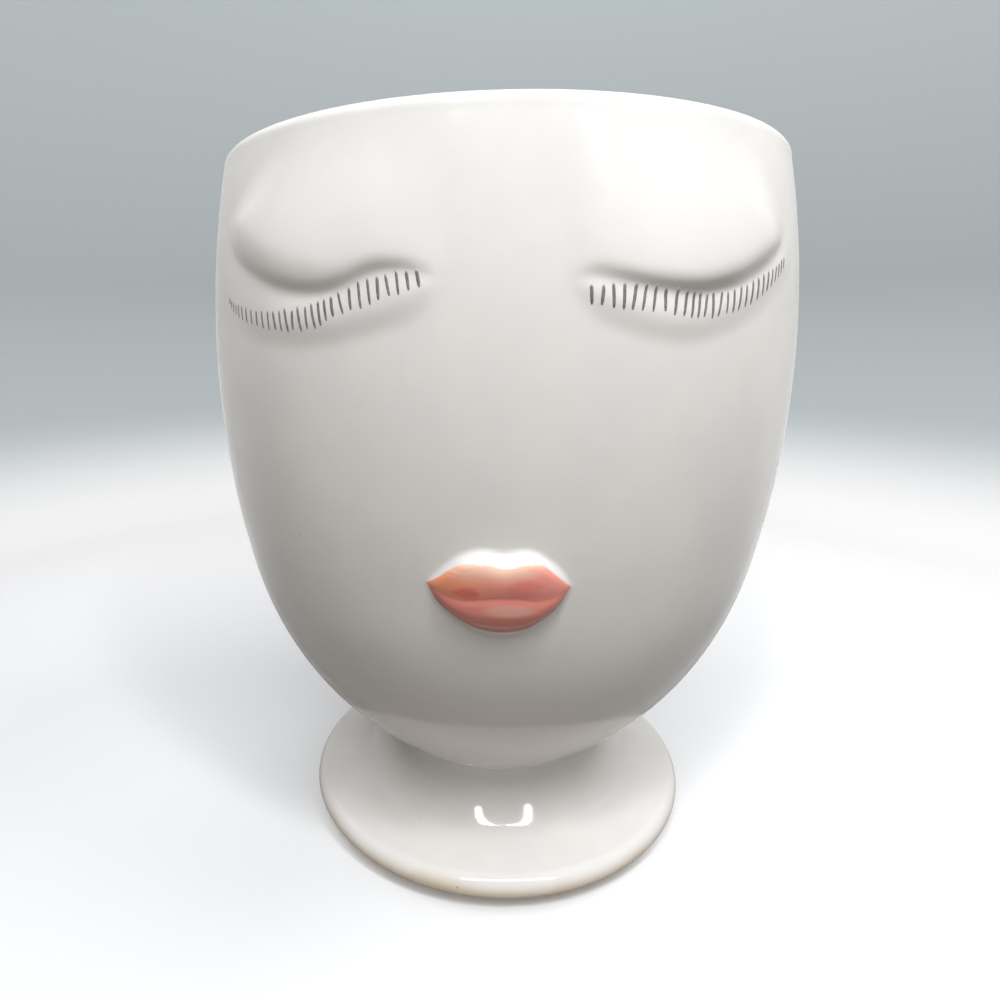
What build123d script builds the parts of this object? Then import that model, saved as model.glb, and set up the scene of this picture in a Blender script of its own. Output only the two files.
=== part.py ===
"""Head planter: a footed, glazed ceramic pot whose bowl is a sleeping face.

Millimetres, +Z up. The origin is on the axis of the bowl, on the surface that the foot stands on. The face
looks along -Y. Left and right are the viewer's, so left is -X.
"""

import os
from math import asin, cos, degrees, radians, sin

from build123d import *

# Bowl
HEIGHT = 170.0
BELLY_DIA = 140.8
WALL = 5.0
FLOOR_THICKNESS = 7.0
FLOOR_DIA = 48.0
DRAIN_DIA = 13.0

# Foot
WAIST_DIA = 59.0
WAIST_HEIGHT = 22.0
FOOT_DIA = 106.7
FOOT_EDGE = 6.0
FOOT_SLOPE_RISE = 1.4
FOOT_RING_DIA = 90.0
FOOT_RING_WIDTH = 5.0
FOOT_RING_HEIGHT = 3.1
FOOT_WALL = 7.0
NECK_FLARE = 6.5

# Drain plug
PLUG_CLEARANCE = 0.3
PLUG_FLANGE_DIA = 22.0
PLUG_FLANGE_THICKNESS = 3.0
PLUG_SHANK_REACH = 2.0
PLUG_SHANK_CHAMFER = 1.0
PLUG_NECK_DIA = 5.0
PLUG_NECK_HEIGHT = 3.0
PLUG_KNOB_DIA = 9.0

# Widths of the head, as shares of its belly
RIM_WIDTH_SHARE = 0.9268
JAW_WIDTH_SHARE = 0.9361
CHIN_WIDTH_SHARE = 0.6918

# Places and heights on the head, as shares of its whole height, so that the face follows a taller or shorter head
BELLY_LINE_SHARE = 0.7176
JAW_LINE_SHARE = 0.4588
CHIN_LINE_SHARE = 0.2412
EYE_LINE_SHARE = 0.8259
CREASE_RISE_SHARE = 0.0735
BROW_HEIGHT_SHARE = 0.1059
LID_HEIGHT_SHARE = 0.0412
LIP_LINE_SHARE = 0.5153
UPPER_LIP_SHARE = 0.0494
LOWER_LIP_SHARE = 0.0459

# Face relief: how deep a pressed-on piece starts in the wall, and where its hidden back lies
RELIEF_SINK = 1.3
RELIEF_BACK = 2.8

# Brows: angles are round the bowl from the middle of the face
BROW_PROUD = 4.2
BROW_INNER_ANGLE = 8.5
BROW_OUTER_ANGLE = 59.5

# Eyelids
CREASE_GAP = 0.8
LID_PROUD = 2.6
LID_INNER_ANGLE = 9.5
LID_OUTER_ANGLE = 54.0

# Lips
LIP_WIDTH = 27.0
LIP_PROUD = 3.8

# Line of the crease under a brow: (share of the brow's span, share of the crease's rise above the eye line)
CREASE_SHARES = [(0.00, 0.17), (0.11, 0.26), (0.28, 0.08), (0.46, 0.00), (0.70, 0.28), (0.88, 0.70), (1.00, 1.02)]

# Along a brow's span: (span share, height share, thickness share), below zero where it runs out into the wall
BROW_SHARES = [
    (0.00, 0.14, -0.20),
    (0.11, 0.42, 0.24),
    (0.28, 0.80, 0.74),
    (0.50, 1.00, 1.00),
    (0.72, 0.94, 0.92),
    (0.90, 0.64, 0.56),
    (1.00, 0.22, -0.20),
]
# Section of a brow from the crease up: (height share, thickness share), a full lower edge and a long fade
BROW_SECTION_SHARES = [(0.04, 0.58), (0.26, 1.00), (0.66, 0.52)]

LID_SHARES = [
    (0.00, 0.16, -0.35),
    (0.12, 0.66, 0.38),
    (0.28, 0.98, 0.88),
    (0.50, 1.02, 1.00),
    (0.70, 0.96, 0.94),
    (0.88, 0.66, 0.52),
    (1.00, 0.22, -0.35),
]
# Section of a lid from its lower edge up to the crease: a rounded lower edge and a flat slope
LID_SECTION_SHARES = [(0.06, 0.60), (0.28, 1.00), (0.80, 0.60)]

# Across the mouth: (half width share, upper height share, lower height share, thickness share, corner share);
# the corner share lifts the parting line, as a share of the upper lip's height
LIP_SHARES = [
    (-1.00, 0.28, -0.05, -0.22, 0.13),
    (-0.84, 0.60, 0.30, 0.42, 0.10),
    (-0.40, 0.98, 0.88, 0.94, 0.01),
    (0.00, 0.93, 1.00, 1.00, -0.03),
    (0.40, 0.98, 0.88, 0.94, 0.01),
    (0.84, 0.60, 0.30, 0.42, 0.10),
    (1.00, 0.28, -0.05, -0.22, 0.13),
]
# Section of the lips away from the parting line: (height share, thickness share)
UPPER_LIP_SECTION_SHARES = [(0.88, 0.45), (0.45, 1.00)]
PARTING_PROUD_SHARE = 0.60
LOWER_LIP_SECTION_SHARES = [(0.45, 0.96), (0.90, 0.45)]

# Where a curve is searched for a height or an angle, the search ends at this share of its length
SEARCH_SHARE = 1e-7

os.makedirs("parts", exist_ok=True)


def save(piece, name):
    """Label a finished piece and write it."""
    piece.part.label = name
    export_step(piece.part, f"parts/{name}.step")


# The bowl's outline, drawn as (radius, height): arcs that run into each other from the belly up and down
rim_round = WALL / 2
rim_base = HEIGHT - rim_round
belly_radius = BELLY_DIA / 2
rim = (RIM_WIDTH_SHARE * belly_radius, rim_base)
belly = (belly_radius, BELLY_LINE_SHARE * HEIGHT)
jaw = (JAW_WIDTH_SHARE * belly_radius, JAW_LINE_SHARE * HEIGHT)
chin = (CHIN_WIDTH_SHARE * belly_radius, CHIN_LINE_SHARE * HEIGHT)
waist = (WAIST_DIA / 2, WAIST_HEIGHT)
with BuildLine() as outer_line:
    forehead = TangentArc(belly, rim, tangent=(0, 1))
    cheek = TangentArc(belly, jaw, tangent=(0, -1))
    jaw_round = TangentArc(jaw, chin, tangent=cheek % 1)
    underside = TangentArc(chin, waist, tangent=jaw_round % 1)


def within(edge):
    """Point one wall inside the lower end of an outline edge, square to it."""
    end, along = edge @ 1, edge % 1
    return (end.X + WALL * along.Y, end.Y - WALL * along.X)


# The inner outline is one wall away, with the same centres, and ends in a flat floor
floor_top = WAIST_HEIGHT + FLOOR_THICKNESS
inner_rim = (rim[0] - WALL, rim_base)
inner_belly = (belly_radius - WALL, BELLY_LINE_SHARE * HEIGHT)
floor_edge = (FLOOR_DIA / 2, floor_top)
with BuildLine() as inner_line:
    TangentArc(inner_belly, inner_rim, tangent=(0, 1))
    TangentArc(inner_belly, within(cheek), tangent=(0, -1))
    TangentArc(within(cheek), within(jaw_round), tangent=cheek % 1)
    TangentArc(within(jaw_round), floor_edge, tangent=jaw_round % 1)


def bowl_radius(height):
    """Radius of the bowl's outer face at a height, from the arc that passes it."""
    for arc in (forehead, cheek, jaw_round, underside):
        low, high = sorted(((arc @ 0).Y, (arc @ 1).Y))
        if low <= height <= high:
            rise = height - arc.arc_center.Y
            return arc.arc_center.X + (arc.radius**2 - rise**2) ** 0.5
    raise ValueError(f"the bowl has no wall at height {height}")


def meridian(angle):
    """Upright plane through the axis, its x outward at an angle round the bowl from the middle of the face."""
    turn = radians(angle)
    return Plane(origin=(0, 0, 0), x_dir=(sin(turn), -cos(turn), 0), z_dir=(-cos(turn), -sin(turn), 0))


# The head as a solid form without its hollow: what the face pieces are pressed against
with BuildPart() as head_form:
    with BuildSketch(Plane.XZ):
        with BuildLine():
            add(outer_line.line)
            Polyline(rim, (0, rim_base), (0, WAIST_HEIGHT), waist)
        make_face()
    revolve(axis=Axis.Z)

# Bowl: one wall thick, with a full-round rim and a drain hole through its floor
with BuildPart() as head_bowl:
    with BuildSketch(Plane.XZ):
        with BuildLine():
            add(outer_line.line)
            ThreePointArc(rim, (rim[0] - rim_round, HEIGHT), inner_rim)
            add(inner_line.line)
            Polyline(floor_edge, (DRAIN_DIA / 2, floor_top), (DRAIN_DIA / 2, WAIST_HEIGHT), waist)
        make_face()
    revolve(axis=Axis.Z)
save(head_bowl, "head_bowl")

# Foot: a hollow trumpet with a thick round edge, standing on an unglazed ring and luted to the bowl at the waist
edge_round = FOOT_EDGE / 2
edge_middle = FOOT_RING_HEIGHT + edge_round
edge_top = FOOT_RING_HEIGHT + FOOT_EDGE
edge_centre = FOOT_DIA / 2 - edge_round
ring_outer = FOOT_RING_DIA / 2
ring_inner = ring_outer - FOOT_RING_WIDTH
foot_bore = WAIST_DIA / 2 - FOOT_WALL
flare_start = (WAIST_DIA / 2 + NECK_FLARE, edge_top + FOOT_SLOPE_RISE)
with BuildPart() as pedestal_foot:
    with BuildSketch(Plane.XZ):
        with BuildLine():
            ThreePointArc(
                (edge_centre, FOOT_RING_HEIGHT), (FOOT_DIA / 2, edge_middle), (edge_centre, edge_top)
            )
            slope = TangentArc((edge_centre, edge_top), flare_start, tangent=(-1, 0))
            TangentArc(flare_start, waist, tangent=slope % 1)
            Polyline(
                waist,
                (foot_bore, WAIST_HEIGHT),
                (foot_bore, edge_top),
                (ring_inner, FOOT_RING_HEIGHT),
                (ring_inner, 0),
                (ring_outer, 0),
                (ring_outer, FOOT_RING_HEIGHT),
                (edge_centre, FOOT_RING_HEIGHT),
            )
        make_face()
    revolve(axis=Axis.Z)
save(pedestal_foot, "pedestal_foot")


def pressed_on(name, stations):
    """A relief piece lofted through upright sections and seated on the bowl's outer face.

    A station is (angle, points), with each point as (height, distance proud of the bowl). The first and
    last points lie inside the wall, so the bowl trims the piece to a clean edge all round.
    """
    with BuildPart() as piece:
        for angle, points in stations:
            outline = [(bowl_radius(height) + proud, height) for height, proud in points]
            first, last = points[0][0], points[-1][0]
            back = min(bowl_radius(first), bowl_radius(last)) - RELIEF_BACK
            with BuildSketch(meridian(angle)):
                with BuildLine():
                    Spline(*outline)
                    Polyline(outline[-1], (back, last), (back, first), outline[0])
                make_face()
        loft()
        add(head_form.part, mode=Mode.SUBTRACT)
    save(piece, name)


# The crease is one smooth line, drawn as (angle round the bowl, height), that the brow and the lid share
brow_span = BROW_OUTER_ANGLE - BROW_INNER_ANGLE
eye_line = EYE_LINE_SHARE * HEIGHT
crease_rise = CREASE_RISE_SHARE * HEIGHT
crease_points = [
    Vector(BROW_INNER_ANGLE + along * brow_span, eye_line + up * crease_rise) for along, up in CREASE_SHARES
]
crease_line = Edge.make_spline(crease_points)


def crease_height(angle):
    """Height of the crease at an angle, found by halving along its line."""
    low, high = 0.0, 1.0
    while high - low > SEARCH_SHARE:
        middle = (low + high) / 2
        if crease_line.position_at(middle).X < angle:
            low = middle
        else:
            high = middle
    return crease_line.position_at(high).Y


def brow(side):
    """Pillow above the eye: full where it overhangs the crease, fading into the forehead above."""
    stations = []
    for along, height_share, proud_share in BROW_SHARES:
        angle = BROW_INNER_ANGLE + along * brow_span
        bottom = crease_height(angle)
        tall = height_share * BROW_HEIGHT_SHARE * HEIGHT
        points = [(bottom, -RELIEF_SINK)]
        for up, out in BROW_SECTION_SHARES:
            points.append((bottom + up * tall, out * proud_share * BROW_PROUD))
        points.append((bottom + tall, -RELIEF_SINK))
        stations.append((side * angle, points))
    return stations


def eyelid(side):
    """Crescent below the crease that carries the lashes, with a rounded lower edge."""
    stations = []
    for along, height_share, proud_share in LID_SHARES:
        angle = LID_INNER_ANGLE + along * (LID_OUTER_ANGLE - LID_INNER_ANGLE)
        tall = height_share * LID_HEIGHT_SHARE * HEIGHT
        bottom = crease_height(angle) - CREASE_GAP - tall
        points = [(bottom, -RELIEF_SINK)]
        for up, out in LID_SECTION_SHARES:
            points.append((bottom + up * tall, out * proud_share * LID_PROUD))
        points.append((bottom + tall, -RELIEF_SINK))
        stations.append((side * angle, points))
    return stations


def mouth():
    """Closed lips: two full rolls with a parting groove, a bowed upper edge and corners that run out."""
    stations = []
    lip_line = LIP_LINE_SHARE * HEIGHT
    upper_height = UPPER_LIP_SHARE * HEIGHT
    lower_height = LOWER_LIP_SHARE * HEIGHT
    half_angle = degrees(asin(LIP_WIDTH / 2 / bowl_radius(lip_line)))
    for across, upper_share, lower_share, proud_share, corner_share in LIP_SHARES:
        parting = lip_line + corner_share * upper_height
        upper = lip_line + upper_share * upper_height - parting
        lower = parting - lip_line + lower_share * lower_height
        proud = proud_share * LIP_PROUD
        points = [(parting + upper, -RELIEF_SINK)]
        for up, out in UPPER_LIP_SECTION_SHARES:
            points.append((parting + up * upper, out * proud))
        points.append((parting, PARTING_PROUD_SHARE * proud))
        for down, out in LOWER_LIP_SECTION_SHARES:
            points.append((parting - down * lower, out * proud))
        points.append((parting - lower, -RELIEF_SINK))
        stations.append((across * half_angle, points[::-1]))
    return stations


for side_name, side in (("left", -1), ("right", 1)):
    pressed_on(f"{side_name}_brow", brow(side))
    pressed_on(f"{side_name}_eyelid", eyelid(side))
pressed_on("lips", mouth())

# Drain plug: a stopper that drops into the hole from inside, with a flange on the floor and a knob to pull
shank = DRAIN_DIA / 2 - PLUG_CLEARANCE
shank_foot = WAIST_HEIGHT - PLUG_SHANK_REACH
flange = PLUG_FLANGE_DIA / 2
flange_round = PLUG_FLANGE_THICKNESS / 2
flange_top = floor_top + PLUG_FLANGE_THICKNESS
neck = PLUG_NECK_DIA / 2
knob = PLUG_KNOB_DIA / 2
knob_centre = flange_top + PLUG_NECK_HEIGHT + knob
neck_top = knob_centre - (knob**2 - neck**2) ** 0.5
with BuildPart() as drain_plug:
    with BuildSketch(Plane.XZ):
        with BuildLine():
            Polyline(
                (0, knob_centre + knob),
                (0, shank_foot),
                (shank - PLUG_SHANK_CHAMFER, shank_foot),
                (shank, shank_foot + PLUG_SHANK_CHAMFER),
                (shank, floor_top),
                (flange - flange_round, floor_top),
            )
            ThreePointArc(
                (flange - flange_round, floor_top),
                (flange, floor_top + flange_round),
                (flange - flange_round, flange_top),
            )
            Polyline((flange - flange_round, flange_top), (neck, flange_top), (neck, neck_top))
            ThreePointArc((neck, neck_top), (knob, knob_centre), (0, knob_centre + knob))
        make_face()
    revolve(axis=Axis.Z)
save(drain_plug, "drain_plug")
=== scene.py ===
# %% [markdown]
# # Head planter
# A small footed pot of white glazed earthenware. Its bowl is a sleeping face: two soft brows that
# overhang closed lids, painted lashes and a pair of coral lips. The CAD model gives every piece its place
# and size. This lesson makes the surfaces that the CAD solids only sketch: the soft press-moulded relief,
# the brushed paint and the glaze. The pot's lengths are written in millimetres, as a potter would, and
# turned into metres where a mesh is made. Lamps and the backdrop's colours are placed in metres.

import math

import bpy
import numpy as np
from mathutils import Matrix, Vector


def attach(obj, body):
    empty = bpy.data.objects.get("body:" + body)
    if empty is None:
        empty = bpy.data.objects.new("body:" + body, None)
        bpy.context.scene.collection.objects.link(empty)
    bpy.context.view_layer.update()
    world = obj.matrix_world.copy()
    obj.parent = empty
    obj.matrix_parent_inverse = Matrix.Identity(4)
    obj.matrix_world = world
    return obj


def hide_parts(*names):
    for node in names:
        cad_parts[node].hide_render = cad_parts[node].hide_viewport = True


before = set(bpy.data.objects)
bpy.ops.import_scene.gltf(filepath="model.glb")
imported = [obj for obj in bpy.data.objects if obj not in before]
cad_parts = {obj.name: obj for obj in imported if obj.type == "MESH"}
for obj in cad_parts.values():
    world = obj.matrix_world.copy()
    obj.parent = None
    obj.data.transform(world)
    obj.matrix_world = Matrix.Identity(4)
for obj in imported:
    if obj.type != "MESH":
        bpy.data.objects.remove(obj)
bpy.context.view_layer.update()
scene = bpy.context.scene
scene.view_settings.view_transform = "Standard"
MM = 0.001
print("pieces in the frame:", ", ".join(sorted(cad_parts)))

# %% [markdown]
# ## Camera
# The picture was taken close up with a wide lens, a little above the eyes and looking down, so the bowl
# looks wider at the top than it is. A camera can be placed by eye, but a close one has to stand exactly
# right, or the rim and the foot open up by the wrong amount. Here its place, tilt and lens are numbers
# that were fitted to the outline of the pot, and the camera is built from its three directions: right, up
# and forward.

# %% Place the camera
FRAME_PIXELS = 1000.0
LENS_PIXELS = 670.0
AXIS_OFFSET_PIXELS = 45.2
SENSOR_MM = 36.0
CAMERA_PLACE = Vector((-2.42, -181.5, 134.1)) * MM
PITCH, YAW, ROLL = (math.radians(angle) for angle in (14.58, -2.98, -0.39))

forward = Vector((math.sin(YAW) * math.cos(PITCH), math.cos(YAW) * math.cos(PITCH), -math.sin(PITCH)))
level_right = Vector((math.cos(YAW), -math.sin(YAW), 0))
level_up = level_right.cross(forward)
right = math.cos(ROLL) * level_right + math.sin(ROLL) * level_up
up = math.cos(ROLL) * level_up - math.sin(ROLL) * level_right

lens = bpy.data.cameras.new("picture_camera")
lens.sensor_width = SENSOR_MM
lens.lens = SENSOR_MM * LENS_PIXELS / FRAME_PIXELS
lens.shift_x = AXIS_OFFSET_PIXELS / FRAME_PIXELS
lens.clip_start = MM
camera = bpy.data.objects.new("picture_camera", lens)
camera.matrix_world = Matrix((
    (right.x, up.x, -forward.x, CAMERA_PLACE.x),
    (right.y, up.y, -forward.y, CAMERA_PLACE.y),
    (right.z, up.z, -forward.z, CAMERA_PLACE.z),
    (0, 0, 0, 1),
))
scene.collection.objects.link(camera)
scene.camera = camera
print(f"camera: lens {lens.lens:.2f} mm, {CAMERA_PLACE.length:.3f} m from the foot's centre")

# %% [markdown]
# ## Bowl
# On the wheel or in a mould, a bowl is one outline turned about an axis. Its outline here is four circle
# arcs that run into each other: forehead, cheek, jaw and underside. A Screw modifier could turn a drawn
# curve, but the face pieces below need the same outline as numbers, to know where the clay is at any
# height. So the arcs are worked out once, sampled, and turned into a mesh by hand. Each arc is fixed by
# where it starts, which way it leaves, and where it ends.

# %% Outline of the bowl
BELLY, RIM, JAW, CHIN, WAIST = (70.4, 122.0), (65.25, 167.5), (65.9, 78.0), (48.7, 41.0), (29.5, 22.0)
WALL = 5.0
FLOOR_EDGE, DRAIN_RADIUS = (24.0, 29.0), 6.5
ARC_STEP, FINE_STEP = 1.2, 0.05


def arc(start, heading, end, step=ARC_STEP):
    """Points of the arc that leaves start along heading and reaches end, and its heading there."""
    start, heading, chord = np.array(start), np.array(heading), np.subtract(end, start)
    across = np.array((-heading[1], heading[0]))
    bend = 2 * (chord @ across) / (chord @ chord)
    sweep = 2 * math.atan2(chord @ across, chord @ heading)
    angles = np.linspace(0, sweep, max(2, round(abs(sweep / bend) / step) + 1))
    points = start + np.outer(np.sin(angles), heading) / bend + np.outer(1 - np.cos(angles), across) / bend
    return points, math.cos(sweep) * heading + math.sin(sweep) * across


def outline(inset, lowest, step):
    """The bowl's outline from its lowest point up to the rim, moved inwards by a wall or not at all."""
    belly, rim = (BELLY[0] - inset, BELLY[1]), (RIM[0] - inset, RIM[1])
    runs, here, place, heading = [], BELLY, belly, np.array((0.0, -1.0))
    for corner in (JAW, CHIN):
        _, turned = arc(here, heading, corner, step)
        inner = (corner[0] + inset * turned[1], corner[1] - inset * turned[0])
        runs.append(arc(place, heading, inner, step)[0])
        here, place, heading = corner, inner, turned
    runs.append(arc(place, heading, lowest, step)[0])
    upper = arc(belly, (0.0, 1.0), rim, step)[0]
    return np.vstack([np.vstack([runs[0], runs[1][1:], runs[2][1:]])[::-1], upper[1:]])


outer_wall = outline(0.0, WAIST, ARC_STEP)
inner_wall = outline(WALL, FLOOR_EDGE, ARC_STEP)
fine_wall = outline(0.0, WAIST, FINE_STEP)


def bowl_radius(height):
    """Radius of the bowl's outer face at a height."""
    return np.interp(height, fine_wall[:, 1], fine_wall[:, 0])


print(f"outline: {len(outer_wall)} points outside, {len(inner_wall)} inside,",
      f"belly {2 * bowl_radius(BELLY[1]):.1f} mm")

# %% Turn an outline into a mesh
TURN_STEPS = 256
RIM_STEPS, FLOOR_RINGS, SEAT_RINGS = 12, 7, 5


def mesh_object(name, vertices, faces, smooth_angle=40.0):
    """A mesh object at the origin, in metres, with its faces outward and its round surfaces smooth."""
    mesh = bpy.data.meshes.new(name)
    mesh.from_pydata(np.asarray(vertices) * MM, [], faces)
    mesh.shade_smooth()
    mesh.set_sharp_from_angle(angle=math.radians(smooth_angle))
    mesh.validate()
    made = bpy.data.objects.new(name, mesh)
    scene.collection.objects.link(made)
    return made


def turned(name, loop):
    """A closed outline, listed anticlockwise as (radius, height), turned once about the axis."""
    loop = np.asarray(loop)
    angles = np.arange(TURN_STEPS) * 2 * math.pi / TURN_STEPS
    x, y = np.outer(np.cos(angles), loop[:, 0]), np.outer(np.sin(angles), loop[:, 0])
    vertices = np.dstack([x, y, np.broadcast_to(loop[:, 1], x.shape)]).reshape(-1, 3)
    count, faces = len(loop), []
    for ring in range(TURN_STEPS):
        this, after = ring * count, (ring + 1) % TURN_STEPS * count
        for step in range(count):
            ahead = (step + 1) % count
            faces.append((this + step, after + step, after + ahead, this + ahead))
    return mesh_object(name, vertices, faces)


rim_angles = np.linspace(0, math.pi, RIM_STEPS + 1)[1:-1]
rim_round = np.column_stack([
    RIM[0] - WALL / 2 + WALL / 2 * np.cos(rim_angles), RIM[1] + WALL / 2 * np.sin(rim_angles)
])
floor_radii = np.linspace(FLOOR_EDGE[0], DRAIN_RADIUS, FLOOR_RINGS + 1)[1:]
floor_top = np.column_stack([floor_radii, np.full(FLOOR_RINGS, FLOOR_EDGE[1])])
seat_radii = np.linspace(DRAIN_RADIUS, WAIST[0], SEAT_RINGS + 1)[:-1]
seat = np.column_stack([seat_radii, np.full(SEAT_RINGS, WAIST[1])])
bowl = turned("bowl", np.vstack([outer_wall, rim_round, inner_wall[::-1], floor_top, seat]))
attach(bowl, "planter")
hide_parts("head_bowl")
print(f"bowl: {len(bowl.data.polygons)} faces")

# %% [markdown]
# ## Foot
# The foot is a trumpet with a thick round edge, hollow below, that stands on a narrow ring. The ring
# stays bare of glaze, because glaze would fuse it to the kiln shelf. It is turned like the bowl, from
# arcs that meet smoothly, so a highlight runs down the slope without a kink.

# %% Turn the foot
EDGE_CENTRE, EDGE_ROUND, EDGE_MIDDLE = 50.35, 3.0, 6.1
SLOPE_CORNERS = [(40.0, 10.0), (37.5, 11.1), (31.9, 16.6), WAIST]
FOOT_BORE, STAND_INNER, STAND_OUTER, STAND_HEIGHT = 22.5, 40.0, 45.0, 3.1
STAND_SOFT = 0.5
BORE_MIDDLE, HOLLOW_TOP = 15.0, 9.1
EDGE_STEPS, SLOPE_STEP = 24, 0.6

edge_angles = np.linspace(-math.pi / 2, math.pi / 2, EDGE_STEPS + 1)
edge = np.column_stack([
    EDGE_CENTRE + EDGE_ROUND * np.cos(edge_angles), EDGE_MIDDLE + EDGE_ROUND * np.sin(edge_angles)
])
slope, corner, heading = [], edge[-1], np.array((-1.0, 0.0))
for after in SLOPE_CORNERS:
    run, heading = arc(corner, heading, after, SLOPE_STEP)
    slope.append(run[1:])
    corner = after
hollow = [
    (FOOT_BORE, WAIST[1]), (FOOT_BORE, BORE_MIDDLE), (FOOT_BORE, HOLLOW_TOP),
    ((FOOT_BORE + STAND_INNER) / 2, (HOLLOW_TOP + STAND_HEIGHT) / 2), (STAND_INNER, STAND_HEIGHT),
    (STAND_INNER, STAND_SOFT), (STAND_INNER + STAND_SOFT, 0.0), (STAND_OUTER - STAND_SOFT, 0.0),
    (STAND_OUTER, STAND_SOFT), (STAND_OUTER, STAND_HEIGHT),
]
foot = turned("foot", np.vstack([edge, *slope, hollow]))
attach(foot, "planter")
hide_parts("pedestal_foot")
print(f"foot: {len(foot.data.polygons)} faces")

# %% [markdown]
# ## Relief
# The brows, lids and lips are pads of soft clay, pressed on the bowl and smoothed out with a wet finger.
# Sculpting would do, but can't be repeated. A height field can: on a fine grid of angle round the bowl
# and height above the table, each point gets a distance by which the clay stands proud. The field is
# drawn with hard sections first and then blurred a little, which rounds every crease just as a finger and
# a coat of glaze do.
#
# Each pad becomes a closed lens. Its front is the bowl plus the field, its back lies just inside the
# wall. Where the field runs out to nothing, the lens dips under the bowl's skin by a hundredth of a
# millimetre, so there's no edge.

# %% Tools for the relief
SINK = 0.01
PAD_BACK = 0.2
OVERLAP_DIP = 0.25
BLUR_REACH = 4
PAD_SMOOTH_ANGLE = 80.0
GRID_MARGIN = 0.01


def smooth_line(places, values):
    """A smooth line through (place, value) pairs, as a function: a cubic with gentle slopes."""
    places, values = np.asarray(places, float), np.asarray(values, float)
    slopes = np.gradient(values, places)

    def line(at):
        at = np.clip(at, places[0], places[-1])
        piece = np.clip(np.searchsorted(places, at) - 1, 0, len(places) - 2)
        span = places[piece + 1] - places[piece]
        t = (at - places[piece]) / span
        ends = (2 * t**3 - 3 * t**2 + 1) * values[piece] + (3 * t**2 - 2 * t**3) * values[piece + 1]
        bends = (t**3 - 2 * t**2 + t) * slopes[piece] + (t**3 - t**2) * slopes[piece + 1]
        return ends + span * bends

    return line


def soft_step(value):
    """Rises from 0 to 1 as the value does, level at both ends."""
    value = np.clip(value, 0, 1)
    return value * value * (3 - 2 * value)


def round_step(value):
    """Rises from 0 to 1 like the edge of a cushion: steep at first, then level."""
    return np.sqrt(1 - (1 - np.clip(value, 0, 1)) ** 2)


def blurred(field, cells):
    """The field with a bell-shaped blur, given in grid cells."""
    reach = int(BLUR_REACH * cells)
    bell = np.exp(-0.5 * (np.arange(-reach, reach + 1) / cells) ** 2)
    bell /= bell.sum()
    for turn in range(2):
        padded = np.pad(field, ((reach, reach), (0, 0)), mode="edge")
        field = np.apply_along_axis(np.convolve, 0, padded, bell, mode="valid").T
    return field


def pad(name, angles, heights, proud):
    """A closed lens on the bowl. The field's rows are heights, its columns angles in degrees."""
    rows, columns = proud.shape
    turn = np.radians(angles)[None, :]
    wall = bowl_radius(heights)[:, None]
    sheets = []
    for reach in (wall + np.maximum(proud - SINK, SINK - PAD_BACK), wall - PAD_BACK + 0 * proud):
        level = np.broadcast_to(heights[:, None], reach.shape)
        sheets.append(np.dstack([reach * np.sin(turn), -reach * np.cos(turn), level]).reshape(-1, 3))
    index = np.arange(rows * columns).reshape(rows, columns)
    quads = np.dstack([index[:-1, :-1], index[:-1, 1:], index[1:, 1:], index[1:, :-1]]).reshape(-1, 4)
    border = np.concatenate([index[0, :-1], index[:-1, -1], index[-1, :0:-1], index[:0:-1, 0]])
    back = rows * columns
    sides = np.column_stack([border, border + back, np.roll(border, -1) + back, np.roll(border, -1)])
    faces = np.vstack([quads, quads[:, ::-1] + back, sides])
    return mesh_object(name, np.vstack(sheets), faces.tolist(), PAD_SMOOTH_ANGLE)


print("relief tools ready")

# %% [markdown]
# ## Brows and lids
# A brow is a pillow: it rolls over at its lower edge into a deep soft crease, rounds off at the temple
# and fades upwards into the forehead. The lid below is a gentle almond whose lower edge turns under. Brow
# and lid are one field with one blur, so that the crease between them stays soft, and are then shared out
# along the crease line. Past that line, each piece dips away beneath its neighbour. The two sides were
# pressed by hand and aren't mirror images, so each has lines of its own.

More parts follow.
